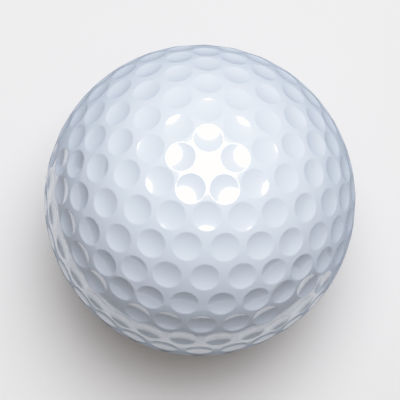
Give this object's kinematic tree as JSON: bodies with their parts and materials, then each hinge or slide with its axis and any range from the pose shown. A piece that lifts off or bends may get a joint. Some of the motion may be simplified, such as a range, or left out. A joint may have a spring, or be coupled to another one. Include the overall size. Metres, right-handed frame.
{
  "type": "golf ball",
  "caption": "Glossy white dimpled golf ball, with a moulded cover over nested mantle and core layers.",
  "frame": {"origin": "centre of the ball", "axes": "+Z along the five-fold axis of the dimple pattern, square to the cover's parting line; +Y points over the meridian of a smooth land spot; X completes the right-handed set"},
  "size_m": [0.0426, 0.0426, 0.0426],
  "materials": {
    "inner_core": "soft moulded blue rubber",
    "outer_core": "firm moulded green rubber, lightly buffed",
    "inner_mantle": "satin natural ionomer",
    "outer_mantle": "satin pigmented ionomer",
    "cover": "cool white urethane with a glossy clear coat"
  },
  "bodies": {
    "root": {"inner_core": "inner_core", "outer_core_upper": "outer_core", "outer_core_lower": "outer_core", "inner_mantle_upper": "inner_mantle", "inner_mantle_lower": "inner_mantle", "outer_mantle_upper": "outer_mantle", "outer_mantle_lower": "outer_mantle", "cover_upper": "cover", "cover_lower": "cover"}
  },
  "joints": []
}
